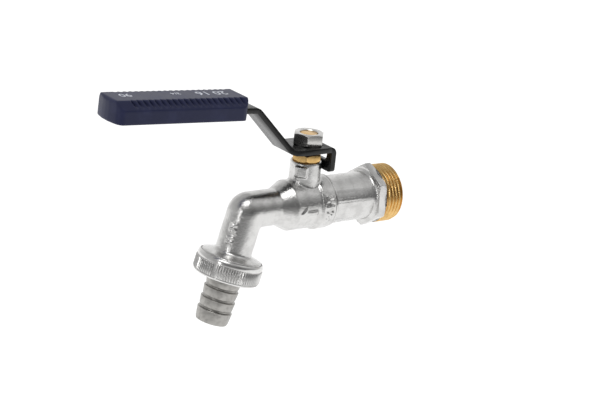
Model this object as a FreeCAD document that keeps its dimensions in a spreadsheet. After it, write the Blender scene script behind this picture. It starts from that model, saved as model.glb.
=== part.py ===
import FreeCAD, Part
import Sketcher
import math
import os

os.makedirs("parts", exist_ok=True)

# Garden ball tap, all sizes in millimetres.
# +X runs along the pipe and out of the inlet, +Z runs up the stem.
# The origin is the centre of the inlet thread, in the plane where the
# thread meets its hexagon. Sub-parts are drawn in the stem's own frame,
# whose origin is where the stem's axis crosses the pipe's axis, and each
# is then placed stem_x along X.

doc = FreeCAD.newDocument("garden_ball_tap")
sheet = doc.addObject("Spreadsheet::Sheet", "Sizes")

# A hexagon's corner lies this many times its width from its middle.
HEX_CORNER = 1 / math.sqrt(3)
# Gap between touching pieces that are pushed together, so that none overlaps.
TOUCH = 0.05

SIZES = [
    # where the stem stands, seen from the inlet shoulder
    ("stem_x", -38.0),
    ("slack", 0.1),
    # casting: pipe side
    ("tube_r", 8.2),
    ("tube_end", -15.5),
    ("chamber_start", -9.65),
    ("chamber_r", 11.4),
    ("band_start", 3.2),
    ("band_step", 0.45),
    ("mouth_x", 10.7),
    ("cavity_play", 0.7),
    ("mouth_step", 1.8),
    ("water_r", 5.5),
    # casting: bend and spout
    ("bend_x", -29.6),
    ("bend_radius", 1.6),
    ("spout_tilt", 14.8),
    ("flange_top", 19.5),
    ("flange_end", 21.9),
    ("flange_r", 13.45),
    ("stub_r", 12.9),
    # casting: neck
    ("neck_r", 7.0),
    ("neck_top", 20.2),
    ("neck_bore_r", 5.55),
    ("neck_floor", 10.1),
    ("neck_bevel", 0.8),
    ("spigot_hole_r", 4.1),
    ("lug_low", 14.0),
    ("lug_top", 18.6),
    # ball and seats
    ("ball_r", 7.5),
    ("ball_play", 0.04),
    ("slot_w", 3.0),
    ("seat_lip", 0.5),
    ("seat_depth", 0.5),
    ("inlet_seat_step", 0.3),
    # stem and its packing
    ("spigot_r", 4.0),
    ("tang_w", 2.8),
    ("tang_len", 6.4),
    ("tang_play", 0.15),
    ("spigot_play", 0.8),
    ("collar_r", 5.4),
    ("thrust_t", 0.8),
    ("collar_t", 1.3),
    ("packing_t", 1.6),
    ("packing_play", 0.02),
    ("stem_flat", 3.0),
    ("stem_flat_low", 23.4),
    ("stem_top", 32.4),
    # gland nut
    ("gland_thread_r", 5.5),
    ("gland_bore_r", 4.1),
    ("gland_af", 12.0),
    ("gland_hex_h", 3.2),
    ("gland_collar_r", 5.9),
    # inlet connector
    ("seat_in_nose", 1.2),
    ("seal_t", 0.5),
    ("collar_x", 12.0),
    ("collar_step", 1.0),
    ("barrel_r", 10.9),
    ("barrel_flare", 1.6),
    ("inlet_hex_step", 1.75),
    ("inlet_hex_t", 4.0),
    ("inlet_hex_turn", -4.0),
    ("thread_r", 13.22),
    ("thread_len", 10.2),
    ("thread_lead_in", 1.1),
    ("inlet_bore_r", 9.0),
    ("throat_r", 5.2),
    ("throat_end", 20.0),
    ("funnel_end", 26.0),
    # union nut, washer and hose tail, measured down the spout
    ("union_top", 22.9),
    ("union_end", 30.8),
    ("union_rim_t", 2.05),
    ("union_play", 0.1),
    ("union_lip_t", 1.4),
    ("union_hole_r", 8.3),
    ("washer_t", 1.3),
    ("washer_play", 0.4),
    ("tail_flange_t", 1.35),
    ("tail_r", 7.85),
    ("tail_low_r", 7.35),
    ("tail_groove_r", 6.75),
    ("barb_1", 35.9),
    ("barb_pitch", 4.9),
    ("barb_gap", 0.9),
    ("tail_end", 51.4),
    ("tail_tip_r", 7.0),
    ("tail_bore_r", 5.2),
    # lever, sheet steel
    ("plate_top", 27.6),
    ("sheet_t", 2.4),
    ("plate_half", 9.0),
    ("tab_half", 8.6),
    ("tab_play", 0.2),
    ("tab_low", 16.0),
    ("window_half", 5.0),
    ("window_low", 20.5),
    ("knee_low_x", -12.1),
    ("knee_high_x", -31.8),
    ("rise", 20.3),
    ("waist_x", -9.0),
    ("arm_half", 6.5),
    ("bar_half", 6.2),
    ("bar_end", -95.0),
    ("grip_pitch", 2.9),
    # grip, moulded sleeve
    ("grip_start", -38.9),
    ("grip_len", 63.5),
    ("grip_half", 9.45),
    ("grip_top_half", 6.8),
    ("grip_low", 7.3),
    ("grip_bevel", 2.35),
    ("grip_line_z", 51.1),
    ("grip_corner", 2.5),
    ("grip_far_corner", 4.5),
    ("grip_foot_bevel", 0.5),
    ("shoulder_low", 1.5),
    ("end_slope_run", 4.0),
    ("end_slope_low", 2.9),
    ("rib_count", 20),
    ("rib_pitch", 2.73),
    ("rib_first", -3.9),
    ("rib_gap", 1.05),
    ("rib_slant", 2.2),
    ("rib_depth", 2.2),
    # lever nut
    ("nut_af", 12.5),
    ("nut_h", 5.2),
    ("nut_bore_r", 4.05),
]

values = {}
row = 1
for alias, value in SIZES:
    sheet.set("A%d" % row, alias)
    sheet.set("B%d" % row, str(value))
    sheet.setAlias("B%d" % row, alias)
    values[alias] = float(value)
    row += 1
doc.recompute()


def number(item):
    """The plain value of a Size or of a number."""
    return item.value if isinstance(item, Size) else float(item)


def wording(item):
    """The sheet expression of a Size or of a number."""
    return item.text if isinstance(item, Size) else repr(float(item))


class Size:
    """A value together with the sheet expression that gives it."""

    def __init__(self, value, text):
        self.value = value
        self.text = text

    def __add__(self, other):
        return Size(self.value + number(other), "(%s + %s)" % (self.text, wording(other)))

    def __radd__(self, other):
        return Size(number(other) + self.value, "(%s + %s)" % (wording(other), self.text))

    def __sub__(self, other):
        return Size(self.value - number(other), "(%s - %s)" % (self.text, wording(other)))

    def __rsub__(self, other):
        return Size(number(other) - self.value, "(%s - %s)" % (wording(other), self.text))

    def __mul__(self, other):
        return Size(self.value * number(other), "(%s * %s)" % (self.text, wording(other)))

    def __rmul__(self, other):
        return self.__mul__(other)

    def __truediv__(self, other):
        return Size(self.value / number(other), "(%s / %s)" % (self.text, wording(other)))

    def __neg__(self):
        return Size(-self.value, "(0 - %s)" % self.text)


def tangent(angle):
    """Tangent of an angle in degrees, as a Size."""
    return Size(math.tan(math.radians(angle.value)), "tan(%s * 1 deg)" % angle.text)


class Sheet:
    """Gives every sheet cell as a Size: at.tube_r and so on."""

    def __getattr__(self, name):
        return Size(values[name], "Sizes.%s" % name)


at = Sheet()


def bind(thing, prop, size):
    """Set a property and, where the size comes from the sheet, bind it."""
    if isinstance(size, Size):
        thing.setExpression(prop, size.text)


def plane_of(body, role):
    """One of the body's own origin planes."""
    for feature in body.Origin.OriginFeatures:
        if feature.Role == role:
            return feature
    raise ValueError(role)


def new_body(label, placed=True):
    """An empty PartDesign body that stands in the stem's frame."""
    body = doc.addObject("PartDesign::Body", label)
    body.Label = label
    if placed:
        body.Placement.Base = FreeCAD.Vector(values["stem_x"], 0, 0)
        bind(body, "Placement.Base.x", at.stem_x)
    return body


def new_sketch(body, name, role, offset=(0, 0, 0), turn=0):
    """A sketch on an origin plane, moved and turned in that plane."""
    sketch = body.newObject("Sketcher::SketchObject", name)
    sketch.AttachmentSupport = [(plane_of(body, role), "")]
    sketch.MapMode = "FlatFace"
    base = FreeCAD.Vector(number(offset[0]), number(offset[1]), number(offset[2]))
    turned = FreeCAD.Rotation(FreeCAD.Vector(0, 0, 1), number(turn))
    sketch.AttachmentOffset = FreeCAD.Placement(base, turned)
    for axis, size in zip("xyz", offset):
        bind(sketch, "AttachmentOffset.Base.%s" % axis, size)
    return sketch


def polygon(sketch, points):
    """A closed outline whose corners are held at the given sizes."""
    start = sketch.GeometryCount
    count = len(points)
    corners = [FreeCAD.Vector(number(x), number(y), 0) for x, y in points]
    for i in range(count):
        sketch.addGeometry(Part.LineSegment(corners[i], corners[(i + 1) % count]), False)
    for i in range(count):
        after = start + (i + 1) % count
        sketch.addConstraint(Sketcher.Constraint("Coincident", start + i, 2, after, 1))
    for i, (x, y) in enumerate(points):
        for kind, size in (("DistanceX", x), ("DistanceY", y)):
            index = sketch.addConstraint(
                Sketcher.Constraint(kind, -1, 1, start + i, 1, number(size)))
            if isinstance(size, Size):
                sketch.setExpression("Constraints[%d]" % index, size.text)


def circle(sketch, radius, x=0, y=0):
    """A circle held at a point, with a bound radius."""
    centre = FreeCAD.Vector(number(x), number(y), 0)
    index = sketch.addGeometry(
        Part.Circle(centre, FreeCAD.Vector(0, 0, 1), number(radius)), False)
    held = sketch.addConstraint(Sketcher.Constraint("Radius", index, number(radius)))
    if isinstance(radius, Size):
        sketch.setExpression("Constraints[%d]" % held, radius.text)
    for kind, size in (("DistanceX", x), ("DistanceY", y)):
        held = sketch.addConstraint(
            Sketcher.Constraint(kind, -1, 1, index, 3, number(size)))
        if isinstance(size, Size):
            sketch.setExpression("Constraints[%d]" % held, size.text)


def volume(body):
    """Volume of the body as it stands."""
    doc.recompute()
    return body.Shape.Volume if not body.Shape.isNull() else 0.0


def must_change(body, before, grow, name):
    """Stop when a feature added or removed nothing."""
    after = volume(body)
    if (grow and after <= before + 1e-4) or (not grow and after >= before - 1e-4):
        raise ValueError("%s changed nothing: %.3f to %.3f" % (name, before, after))


def turn_outline(body, name, points, axis="V_Axis", cut=False, offset=(0, 0, 0), turn=0):
    """Turn a closed outline of the XZ plane about a sketch axis."""
    before = volume(body)
    sketch = new_sketch(body, name + "_outline", "XZ_Plane", offset, turn)
    polygon(sketch, points)
    kind = "PartDesign::Groove" if cut else "PartDesign::Revolution"
    feature = body.newObject(kind, name)
    feature.Profile = sketch
    feature.ReferenceAxis = (sketch, [axis])
    feature.Angle = 360
    must_change(body, before, not cut, name)
    return sketch


def pad(body, name, role, points, length, offset=(0, 0, 0), turn=0, cut=False,
        reverse=False, midplane=False):
    """Pad or pocket a closed outline by a bound length."""
    before = volume(body)
    sketch = new_sketch(body, name + "_outline", role, offset, turn)
    polygon(sketch, points)
    feature = body.newObject("PartDesign::Pocket" if cut else "PartDesign::Pad", name)
    feature.Profile = sketch
    feature.Length = number(length)
    bind(feature, "Length", length)
    feature.Reversed = reverse
    feature.Midplane = midplane
    must_change(body, before, not cut, name)
    return feature


def hexagon(across):
    """Six corners of a hexagon with two corners on the sketch's V axis."""
    half = across / 2
    corner = across * HEX_CORNER
    return [(0, corner), (-half, corner / 2), (-half, -corner / 2),
            (0, -corner), (half, -corner / 2), (half, corner / 2)]


def edges_near(shape, test):
    """Names of the edges that pass a test."""
    return ["Edge%d" % (i + 1) for i, edge in enumerate(shape.Edges) if test(edge)]


def soften(body, name, radius, test, kind="PartDesign::Fillet"):
    """Round or bevel the chosen edges of a body."""
    doc.recompute()
    base = body.Tip
    names = edges_near(base.Shape, test)
    if not names:
        raise ValueError("no edge for " + name)
    feature = body.newObject(kind, name)
    feature.Base = (base, names)
    if kind == "PartDesign::Fillet":
        feature.Radius = number(radius)
        bind(feature, "Radius", radius)
    else:
        feature.Size = number(radius)
        bind(feature, "Size", radius)
    doc.recompute()
    return feature


def along_y(edge, x, z, near=0.35):
    """True for a straight edge parallel with Y through the point X, Z."""
    a = edge.Vertexes[0].Point
    b = edge.Vertexes[-1].Point
    if abs(a.y - b.y) < 1 or abs(a.x - b.x) > 0.01 or abs(a.z - b.z) > 0.01:
        return False
    return abs(a.x - x) < near and abs(a.z - z) < near


# The casting: one piece of cast brass, bored out
half_turn = (90 - at.spout_tilt) / 2
bend_run = at.bend_radius * tangent(half_turn)
bend_start = at.bend_x + bend_run
# The ball sets the size of its bore, its seats and the chamber round it.
ball_bore_r = at.ball_r * 2 / 3
slot_floor = at.ball_r * 0.76
seat_lip_r = at.ball_r - at.seat_lip
seat_end = at.ball_r + at.seat_depth
inlet_seat_r = at.ball_r + at.inlet_seat_step
cavity_r = at.ball_r + at.cavity_play
nose_x = seat_end - at.seat_in_nose
cavity_end = nose_x - at.seal_t
mouth_thread_r = cavity_r + at.mouth_step
nose_r = mouth_thread_r - at.slack
# The mouth's band stands a little above the connector's collar.
connector_collar_r = at.barrel_r + at.collar_step
band_r = connector_collar_r + at.band_step
mouth_bevel = (band_r - mouth_thread_r) / 4
# Down the spout, from the union nut's lip up to the casting's stub.
lip_top = at.union_end - at.union_lip_t
tail_top = lip_top - at.tail_flange_t
washer_top = tail_top - at.washer_t
stub_end = washer_top - at.slack / 2
union_thread_r = at.stub_r + at.union_play

casting = new_body("body")
turn_outline(casting, "pipe_side", [
    (bend_start, 0), (bend_start, at.tube_r), (at.tube_end, at.tube_r),
    (at.chamber_start, at.chamber_r), (at.band_start, at.chamber_r),
    (at.band_start + mouth_bevel, band_r), (at.mouth_x - mouth_bevel, band_r),
    (at.mouth_x, band_r - mouth_bevel), (at.mouth_x, 0)], axis="H_Axis")


def bend_part(name, radius, kind, reverse=False):
    """Turn the part of the pipe's section outside the bend's axis about that axis."""
    before = volume(casting)
    sketch = new_sketch(casting, name + "_outline", "YZ_Plane", (0, 0, bend_start))
    low = -values["bend_radius"]
    dip = math.asin(values["bend_radius"] / number(radius))
    ring = Part.Circle(FreeCAD.Vector(0, 0, 0), FreeCAD.Vector(0, 0, 1), number(radius))
    arc = Part.ArcOfCircle(ring, -dip, math.pi + dip)
    sketch.addGeometry(arc, False)
    sketch.addGeometry(Part.LineSegment(arc.EndPoint, arc.StartPoint), False)
    sketch.addGeometry(Part.LineSegment(
        FreeCAD.Vector(-4, low, 0), FreeCAD.Vector(4, low, 0)), True)
    sketch.addConstraint(Sketcher.Constraint("Coincident", 0, 3, -1, 1))
    sketch.addConstraint(Sketcher.Constraint("Coincident", 0, 2, 1, 1))
    sketch.addConstraint(Sketcher.Constraint("Coincident", 1, 2, 0, 1))
    held = sketch.addConstraint(Sketcher.Constraint("Radius", 0, number(radius)))
    sketch.setExpression("Constraints[%d]" % held, radius.text)
    for line in (1, 2):
        sketch.addConstraint(Sketcher.Constraint("Horizontal", line))
        held = sketch.addConstraint(Sketcher.Constraint("DistanceY", -1, 1, line, 1, low))
        sketch.setExpression("Constraints[%d]" % held, (-at.bend_radius).text)
    feature = casting.newObject(kind, name)
    feature.Profile = sketch
    feature.ReferenceAxis = (sketch, ["Axis0"])
    feature.Angle = 90 - values["spout_tilt"]
    bind(feature, "Angle", 90 - at.spout_tilt)
    feature.Reversed = reverse
    must_change(casting, before, kind == "PartDesign::Revolution", name)
    return feature


elbow = bend_part("elbow", at.tube_r, "PartDesign::Revolution")
if casting.Shape.BoundBox.XMin > values["bend_x"] + values["stem_x"]:
    elbow.Reversed = True
    doc.recompute()

turn_outline(casting, "spout", [
    (0, -bend_run), (at.tube_r, -bend_run),
    (at.tube_r, 0.9 - at.flange_top), (at.tube_r + 0.9, -at.flange_top),
    (at.flange_r - 0.5, -at.flange_top), (at.flange_r, -(at.flange_top + 0.5)),
    (at.flange_r, 0.4 - at.flange_end), (at.flange_r - 0.4, -at.flange_end),
    (at.stub_r, -at.flange_end), (at.stub_r, 0.6 - stub_end),
    (at.stub_r - 0.6, -stub_end), (0, -stub_end)],
    offset=(at.bend_x, 0, 0), turn=-values["spout_tilt"])

turn_outline(casting, "neck", [
    (0, 0), (at.neck_r, 0), (at.neck_r, at.neck_top - 0.5),
    (at.neck_r - 0.4, at.neck_top), (0, at.neck_top)])

# Two stop lugs on the neck, seen from above: one takes the tab when shut,
# the other is its mirror image and takes it when open.
STOP_SHUT = [
    (-6.6, -1.4), (-7.55, -2.2), (-7.0, -4.4), (-4.6, -6.85), (-3.4, -6.5), (-3.0, -3.0)]
STOP_OPEN = [(-y, -x) for x, y in STOP_SHUT]
for name, outline in (("stop_shut", STOP_SHUT), ("stop_open", STOP_OPEN)):
    pad(casting, name, "XY_Plane", outline, at.lug_top - at.lug_low, offset=(0, 0, at.lug_low))

turn_outline(casting, "cavity", [
    (at.mouth_x + 1, 0), (at.mouth_x + 1, mouth_thread_r + mouth_bevel),
    (at.mouth_x, mouth_thread_r + mouth_bevel),
    (at.mouth_x - mouth_bevel, mouth_thread_r),
    (cavity_end, mouth_thread_r), (cavity_end, cavity_r),
    (-seat_end, cavity_r), (-seat_end, at.water_r),
    (bend_start, at.water_r), (bend_start, 0)], axis="H_Axis", cut=True)
bend_part("bend_bore", at.water_r, "PartDesign::Groove", elbow.Reversed)
turn_outline(casting, "spout_bore", [
    (0, -bend_run), (at.water_r, -bend_run), (at.water_r, 1 - at.flange_end),
    (at.water_r + 2, -(at.flange_end + 1)), (at.water_r + 2, -(stub_end + 1)),
    (0, -(stub_end + 1))],
    offset=(at.bend_x, 0, 0), turn=-values["spout_tilt"], cut=True)
turn_outline(casting, "neck_bore", [
    (0, 5), (at.spigot_hole_r, 5), (at.spigot_hole_r, at.neck_floor),
    (at.neck_bore_r, at.neck_floor), (at.neck_bore_r, at.neck_top - at.neck_bevel),
    (at.neck_bore_r + at.neck_bevel, at.neck_top),
    (at.neck_bore_r + at.neck_bevel, at.neck_top + 1), (0, at.neck_top + 1)], cut=True)

# Inlet connector: turned bar with a forged hexagon
thread_x = -at.stem_x
inlet_hex_x = thread_x - at.inlet_hex_t
inlet_hex_af = (at.barrel_r + at.inlet_hex_step) * 2
connector = new_body("inlet_connector")
turn_outline(connector, "barrel", [
    (nose_x, 0), (nose_x, nose_r - 0.5), (nose_x + 0.5, nose_r),
    (at.mouth_x, nose_r), (at.mouth_x, connector_collar_r),
    (at.collar_x - 0.3, connector_collar_r),
    (at.collar_x, connector_collar_r - 0.3), (at.collar_x, at.barrel_r),
    (inlet_hex_x + 1, at.barrel_r), (inlet_hex_x + 1, 0)], axis="H_Axis")
pad(connector, "spanner_hexagon", "YZ_Plane", hexagon(inlet_hex_af),
    thread_x - inlet_hex_x, offset=(0, 0, inlet_hex_x),
    turn=values["inlet_hex_turn"])
hex_corner = inlet_hex_af * HEX_CORNER
turn_outline(connector, "hexagon_bevel", [
    (inlet_hex_x, hex_corner - 1.1), (inlet_hex_x + 0.65, hex_corner + 0.05),
    (inlet_hex_x + 0.65, hex_corner + 2), (inlet_hex_x - 1, hex_corner + 2),
    (inlet_hex_x - 1, hex_corner - 1.1)], axis="H_Axis", cut=True)
turn_outline(connector, "hexagon_bevel_out", [
    (thread_x, hex_corner - 1.1), (thread_x - 0.65, hex_corner + 0.05),
    (thread_x - 0.65, hex_corner + 2), (thread_x + 1, hex_corner + 2),
    (thread_x + 1, hex_corner - 1.1)], axis="H_Axis", cut=True)
thread_end = thread_x + at.thread_len
turn_outline(connector, "inlet_thread", [
    (thread_x - 1, 0), (thread_x - 1, at.thread_r - 1), (thread_x, at.thread_r - 1),
    (thread_x, at.thread_r), (thread_end - at.thread_lead_in, at.thread_r),
    (thread_end, at.thread_r - at.thread_lead_in), (thread_end, 0)], axis="H_Axis")
turn_outline(connector, "through_bore", [
    (nose_x - 1, 0), (nose_x - 1, inlet_seat_r + at.slack), (seat_end, inlet_seat_r + at.slack),
    (seat_end, at.throat_r), (at.throat_end, at.throat_r),
    (at.funnel_end, at.inlet_bore_r), (thread_end - 0.8, at.inlet_bore_r),
    (thread_end + 1, at.inlet_bore_r + 1.8), (thread_end + 1, 0)], axis="H_Axis", cut=True)


def round_at_hexagon(edge):
    """The circle where the barrel runs into the hexagon's face."""
    curve = edge.Curve
    if not isinstance(curve, Part.Circle):
        return False
    near_x = abs(curve.Center.x - inlet_hex_x.value) < 0.05
    return near_x and abs(curve.Radius - values["barrel_r"]) < 0.05


soften(connector, "barrel_flare", at.barrel_flare, round_at_hexagon)

seal = new_body("connector_seal")
turn_outline(seal, "ring", [
    (cavity_end, cavity_r + 0.1), (cavity_end, mouth_thread_r - 0.1),
    (nose_x, mouth_thread_r - 0.1), (nose_x, cavity_r + 0.1)], axis="H_Axis")

# Ball and its two seats
sphere = doc.addObject("Part::Sphere", "ball_blank")
sphere.Radius = values["ball_r"]
bind(sphere, "Radius", at.ball_r)
ball_bore = doc.addObject("Part::Cylinder", "ball_bore")
ball_bore.Radius = ball_bore_r.value
ball_bore.Height = values["ball_r"] * 3
ball_bore.Placement = FreeCAD.Placement(
    FreeCAD.Vector(-values["ball_r"] * 1.5, 0, 0), FreeCAD.Rotation(FreeCAD.Vector(0, 1, 0), 90))
bind(ball_bore, "Radius", ball_bore_r)
bind(ball_bore, "Height", at.ball_r * 3)
bind(ball_bore, "Placement.Base.x", -at.ball_r * 1.5)
bored = doc.addObject("Part::Cut", "ball_bored")
bored.Base = sphere
bored.Tool = ball_bore
slot = doc.addObject("Part::Box", "ball_slot")
slot.Length = values["slot_w"]
slot.Width = values["ball_r"] * 3
slot.Height = values["ball_r"]
slot.Placement.Base = FreeCAD.Vector(
    -values["slot_w"] / 2, -values["ball_r"] * 1.5, slot_floor.value)
bind(slot, "Length", at.slot_w)
bind(slot, "Width", at.ball_r * 3)
bind(slot, "Height", at.ball_r)
bind(slot, "Placement.Base.y", -at.ball_r * 1.5)
bind(slot, "Placement.Base.x", -at.slot_w / 2)
bind(slot, "Placement.Base.z", slot_floor)
ball = doc.addObject("Part::Cut", "ball")
ball.Base = bored
ball.Tool = slot
ball.Placement.Base = FreeCAD.Vector(values["stem_x"], 0, 0)
bind(ball, "Placement.Base.x", at.stem_x)

# A 45 degree cone carries the ball: radius plus distance is constant.
cone_sum = at.ball_r * math.sqrt(2) + at.ball_play


def seat(label, side, outer):
    """A seat ring on one side of the ball."""
    ring = new_body(label)
    turn_outline(ring, "ring_of_" + label, [
        (side * seat_end, ball_bore_r), (side * seat_end, outer),
        (side * (cone_sum - seat_lip_r), outer),
        (side * (cone_sum - seat_lip_r), seat_lip_r),
        (side * (cone_sum - ball_bore_r), ball_bore_r)], axis="H_Axis")
    return ring


seat("outlet_seat", -1, cavity_r - TOUCH)
seat("inlet_seat", 1, inlet_seat_r)

# Stem and what seals it
thrust_top = at.neck_floor + at.thrust_t
collar_top = thrust_top + at.collar_t
packing_mid = collar_top + at.packing_t
packing_top = packing_mid + at.packing_t
spigot_low = at.ball_r + at.spigot_play
stem = new_body("stem")
turn_outline(stem, "stem_round", [
    (0, spigot_low), (at.spigot_r - 0.3, spigot_low), (at.spigot_r, spigot_low + 0.3),
    (at.spigot_r, thrust_top), (at.collar_r, thrust_top), (at.collar_r, collar_top),
    (at.spigot_r, collar_top), (at.spigot_r, at.stem_top - 0.55),
    (at.spigot_r - 0.55, at.stem_top), (0, at.stem_top)])
tang_low = slot_floor + at.tang_play
half_w = at.tang_w / 2
half_l = at.tang_len / 2
pad(stem, "tang", "XY_Plane", [
    (half_w, half_l), (-half_w, half_l), (-half_w, -half_l), (half_w, -half_l)],
    spigot_low + 0.5 - tang_low, offset=(0, 0, tang_low))
for side, word in ((1, "right"), (-1, "left")):
    pad(stem, "flat_" + word, "XY_Plane", [
        (side * at.stem_flat, 6), (side * 6, 6), (side * 6, -6), (side * at.stem_flat, -6)],
        at.plate_top - at.stem_flat_low - TOUCH, offset=(0, 0, at.stem_flat_low),
        cut=True, reverse=True)

washer = new_body("stem_thrust_washer")
turn_outline(washer, "disc", [
    (at.spigot_r + at.slack, at.neck_floor), (at.neck_bore_r - at.slack, at.neck_floor),
    (at.neck_bore_r - at.slack, thrust_top), (at.spigot_r + at.slack, thrust_top)])
for label, low, high in (("packing_ring_lower", collar_top, packing_mid),
                         ("packing_ring_upper", packing_mid, packing_top)):
    ring = new_body(label)
    turn_outline(ring, "ring_of_" + label, [
        (at.spigot_r + at.packing_play, low), (at.neck_bore_r - at.packing_play, low),
        (at.neck_bore_r - at.packing_play, high), (at.spigot_r + at.packing_play, high)])

gland = new_body("gland_nut")
gland_hex_low = at.neck_top + at.slack
turn_outline(gland, "gland_sleeve", [
    (at.gland_bore_r, packing_top), (at.gland_thread_r, packing_top),
    (at.gland_thread_r, at.neck_top - at.neck_bevel),
    (at.gland_collar_r, at.neck_top - at.neck_bevel / 2),
    (at.gland_collar_r, gland_hex_low + 0.5), (at.gland_bore_r, gland_hex_low + 0.5)])
pad(gland, "gland_hexagon", "XY_Plane", hexagon(at.gland_af), at.gland_hex_h,
    offset=(0, 0, gland_hex_low), turn=25)
turn_outline(gland, "gland_bore", [
    (0, packing_top - 1), (at.gland_bore_r, packing_top - 1),
    (at.gland_bore_r, gland_hex_low + at.gland_hex_h + 1),
    (0, gland_hex_low + at.gland_hex_h + 1)], cut=True)
gland_corner = at.gland_af * HEX_CORNER
gland_top = gland_hex_low + at.gland_hex_h
turn_outline(gland, "gland_bevel_low", [
    (at.gland_af / 2, gland_hex_low), (gland_corner + 0.1, gland_hex_low + 0.9),
    (gland_corner + 2, gland_hex_low + 0.9), (gland_corner + 2, gland_hex_low - 1),
    (at.gland_af / 2, gland_hex_low - 1)], cut=True)
turn_outline(gland, "gland_bevel", [
    (gland_corner - 0.8, gland_top), (gland_corner + 0.1, gland_top - 0.5),
    (gland_corner + 2, gland_top - 0.5), (gland_corner + 2, gland_top + 1),
    (gland_corner - 0.8, gland_top + 1)], cut=True)

# Lever: one strip of steel, cut out and bent three times
lever = new_body("lever")
under = at.plate_top - at.sheet_t
bar_rise = (-(at.bar_end) + at.knee_high_x) * tangent(at.grip_pitch)
tab_inner = at.neck_r + at.tab_play
outer_x = tab_inner + at.sheet_t
# The knees' lower corners lie this much further from the stem than the upper.
arm_slope = math.atan2(values["rise"], values["knee_low_x"] - values["knee_high_x"])
knee_shift = at.sheet_t * math.tan(arm_slope / 2)
arm_top = at.plate_top + at.rise
pad(lever, "side_profile", "XZ_Plane", [
    (tab_inner, at.tab_low), (outer_x, at.tab_low), (outer_x, at.plate_top),
    (at.knee_low_x, at.plate_top), (at.knee_high_x, arm_top),
    (at.bar_end, arm_top + bar_rise), (at.bar_end, arm_top + bar_rise - at.sheet_t),
    (at.knee_high_x - knee_shift, arm_top - at.sheet_t),
    (at.knee_low_x - knee_shift, under), (tab_inner, under)],
    at.plate_half * 2, midplane=True)
soften(lever, "outer_bend", at.sheet_t + 0.7, lambda e: along_y(
    e, outer_x.value, values["plate_top"]))
soften(lever, "inner_bend", 0.7, lambda e: along_y(e, tab_inner.value, under.value))
soften(lever, "knee_in", 2.5, lambda e: along_y(e, values["knee_low_x"], values["plate_top"]))
soften(lever, "knee_out", 5.0, lambda e: along_y(
    e, values["knee_low_x"] - knee_shift.value, under.value))
soften(lever, "knee_top", 5.0, lambda e: along_y(e, values["knee_high_x"], arm_top.value))
soften(lever, "knee_top_in", 2.5, lambda e: along_y(
    e, values["knee_high_x"] - knee_shift.value, arm_top.value - values["sheet_t"]))
for side, word in ((1, "left"), (-1, "right")):
    pad(lever, "waist_" + word, "XY_Plane", [
        (at.waist_x, side * at.plate_half), (at.knee_low_x - 2.5, side * at.arm_half),
        (at.knee_high_x, side * at.bar_half), (at.bar_end - 1, side * at.bar_half),
        (at.bar_end - 1, side * 12), (at.waist_x, side * 12)], 80, cut=True, reverse=True)
    pad(lever, "tab_side_" + word, "XY_Plane", [
        (tab_inner - 3, side * at.plate_half), (tab_inner - 0.2, side * at.tab_half),
        (outer_x + 1, side * at.tab_half), (outer_x + 1, side * 12),
        (tab_inner - 3, side * 12)], 80, cut=True, reverse=True)
pad(lever, "bend_window", "YZ_Plane", [
    (-at.window_half, at.window_low), (at.window_half, at.window_low),
    (at.window_half, under - at.slack), (-at.window_half, under - at.slack)],
    at.sheet_t + 2, offset=(0, 0, outer_x + 1), cut=True)


def window_corner(edge):
    """The window's two lower corners, which run through the sheet."""
    a = edge.Vertexes[0].Point
    b = edge.Vertexes[-1].Point
    low = abs(a.z - values["window_low"]) < 0.05 and abs(b.z - values["window_low"]) < 0.05
    side = abs(abs(a.y) - values["window_half"]) < 0.05 and abs(a.y - b.y) < 0.01
    return low and side and abs(a.x - b.x) > 1


soften(lever, "window_corners", 2.5, window_corner)
keyhole = new_sketch(lever, "stem_hole_outline", "XY_Plane")
circle(keyhole, at.spigot_r + at.slack)
stem_hole = lever.newObject("PartDesign::Pocket", "stem_hole")
stem_hole.Profile = keyhole
stem_hole.Length = 60
stem_hole.Reversed = True
doc.recompute()


def foot_corner(edge):
    """The tab's two lower corners, which run through the sheet."""
    a = edge.Vertexes[0].Point
    b = edge.Vertexes[-1].Point
    low = abs(a.z - values["tab_low"]) < 0.05 and abs(b.z - values["tab_low"]) < 0.05
    return low and abs(a.y - b.y) < 0.01 and abs(a.x - b.x) > 1


soften(lever, "foot_corners", 1.6, foot_corner)

# Grip: moulded sleeve, drawn at its inner end and pitched up
grip = new_body("lever_grip", placed=False)
grip.Placement = FreeCAD.Placement(
    FreeCAD.Vector(values["stem_x"] + values["grip_start"], 0, values["grip_line_z"]),
    FreeCAD.Rotation(FreeCAD.Vector(0, 1, 0), values["grip_pitch"]))
bind(grip, "Placement.Base.x", at.stem_x + at.grip_start)
bind(grip, "Placement.Base.z", at.grip_line_z)
pad(grip, "sleeve", "YZ_Plane", [
    (at.grip_half, at.grip_bevel), (-at.grip_half, at.grip_bevel),
    (-at.grip_half, -at.grip_low), (at.grip_half, -at.grip_low)], at.grip_len, reverse=True)


def upright(edge, x):
    """A straight edge that stands up at one of the sleeve's corners, at this X."""
    a = edge.Vertexes[0].Point
    b = edge.Vertexes[-1].Point
    level = abs(a.z - b.z) < 1
    return not level and abs(a.x - x) < 0.01 and abs(b.x - x) < 0.01 and abs(a.y - b.y) < 0.01


def at_foot(edge):
    """Any edge round the sleeve's bottom face."""
    return all(abs(v.Point.z + values["grip_low"]) < 0.01 for v in edge.Vertexes)


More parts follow.
